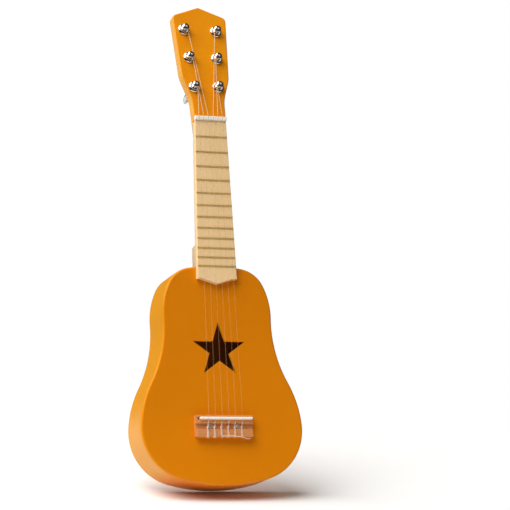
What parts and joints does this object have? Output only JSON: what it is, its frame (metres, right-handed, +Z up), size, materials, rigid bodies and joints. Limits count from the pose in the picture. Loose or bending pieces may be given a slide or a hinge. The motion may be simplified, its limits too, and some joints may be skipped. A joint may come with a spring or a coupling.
{
  "type": "toy guitar",
  "caption": "Small wooden toy guitar with a star sound hole, nylon strings and turning friction tuners.",
  "frame": {"origin": "bottom centre of the bounding box, at the lowest point of the rounded butt", "axes": "+Z up the neck from butt to headstock, -Y the way the soundboard faces, +X to the right of someone looking at the soundboard"},
  "size_m": [0.1788, 0.0584, 0.5264],
  "materials": {
    "body_paint": "satin orange paint",
    "headstock_paint": "satin orange paint",
    "inside_wood": "unfinished wood",
    "neck_wood": "clear satin lacquer",
    "fretboard_wood": "clear satin lacquer",
    "fret_metal": "plain drawn wire",
    "white_plastic": "smooth",
    "bridge_wood": "varnished",
    "screw_metal": "polished",
    "tuner_metal": "polished",
    "knob_plastic": "pearly",
    "nylon": "clear"
  },
  "bodies": {
    "root": {"top_plate": "body_paint", "back_plate": "body_paint", "side_rim": "body_paint", "neck_block": "inside_wood", "tail_block": "inside_wood", "top_brace_upper": "inside_wood", "top_brace_lower": "inside_wood", "bridge_pad": "inside_wood", "headstock": "headstock_paint", "neck": "neck_wood", "neck_dowels": "inside_wood", "fretboard": "fretboard_wood", "fret_01": "fret_metal", "fret_02": "fret_metal", "fret_03": "fret_metal", "fret_04": "fret_metal", "fret_05": "fret_metal", "fret_06": "fret_metal", "fret_07": "fret_metal", "fret_08": "fret_metal", "fret_09": "fret_metal", "fret_10": "fret_metal", "fret_11": "fret_metal", "fret_12": "fret_metal", "nut": "white_plastic", "bridge": "bridge_wood", "saddle": "white_plastic", "bridge_screws": "screw_metal", "tuner_ferrules": "tuner_metal", "tuner_back_washers": "tuner_metal", "string_1": "nylon", "string_2": "nylon", "string_3": "nylon", "string_4": "nylon", "string_5": "nylon", "string_6": "nylon"},
    "tuner_1": {"tuner_post_1": "tuner_metal", "string_wrap_1": "nylon", "tuner_knob_1": "knob_plastic", "knob_screw_1": "screw_metal"},
    "tuner_2": {"tuner_post_2": "tuner_metal", "string_wrap_2": "nylon", "tuner_knob_2": "knob_plastic", "knob_screw_2": "screw_metal"},
    "tuner_3": {"tuner_post_3": "tuner_metal", "string_wrap_3": "nylon", "tuner_knob_3": "knob_plastic", "knob_screw_3": "screw_metal"},
    "tuner_4": {"tuner_post_4": "tuner_metal", "string_wrap_4": "nylon", "tuner_knob_4": "knob_plastic", "knob_screw_4": "screw_metal"},
    "tuner_5": {"tuner_post_5": "tuner_metal", "string_wrap_5": "nylon", "tuner_knob_5": "knob_plastic", "knob_screw_5": "screw_metal"},
    "tuner_6": {"tuner_post_6": "tuner_metal", "string_wrap_6": "nylon", "tuner_knob_6": "knob_plastic", "knob_screw_6": "screw_metal"}
  },
  "joints": [
    {"name": "tuner_1_turn", "type": "hinge", "parent": "root", "child": "tuner_1", "pos_m": [-0.0138, -0.01828, 0.43038], "axis": [0, -0.9877, 0.1564], "continuous": true},
    {"name": "tuner_2_turn", "type": "hinge", "parent": "root", "child": "tuner_2", "pos_m": [-0.0163, -0.01276, 0.46524], "axis": [0, -0.9877, 0.1564], "continuous": true},
    {"name": "tuner_3_turn", "type": "hinge", "parent": "root", "child": "tuner_3", "pos_m": [-0.019, -0.00751, 0.49843], "axis": [0, -0.9877, 0.1564], "continuous": true},
    {"name": "tuner_4_turn", "type": "hinge", "parent": "root", "child": "tuner_4", "pos_m": [0.0175, -0.00758, 0.49794], "axis": [0, -0.9877, 0.1564], "continuous": true},
    {"name": "tuner_5_turn", "type": "hinge", "parent": "root", "child": "tuner_5", "pos_m": [0.0152, -0.01273, 0.46544], "axis": [0, -0.9877, 0.1564], "continuous": true},
    {"name": "tuner_6_turn", "type": "hinge", "parent": "root", "child": "tuner_6", "pos_m": [0.0133, -0.01808, 0.43166], "axis": [0, -0.9877, 0.1564], "continuous": true}
  ]
}
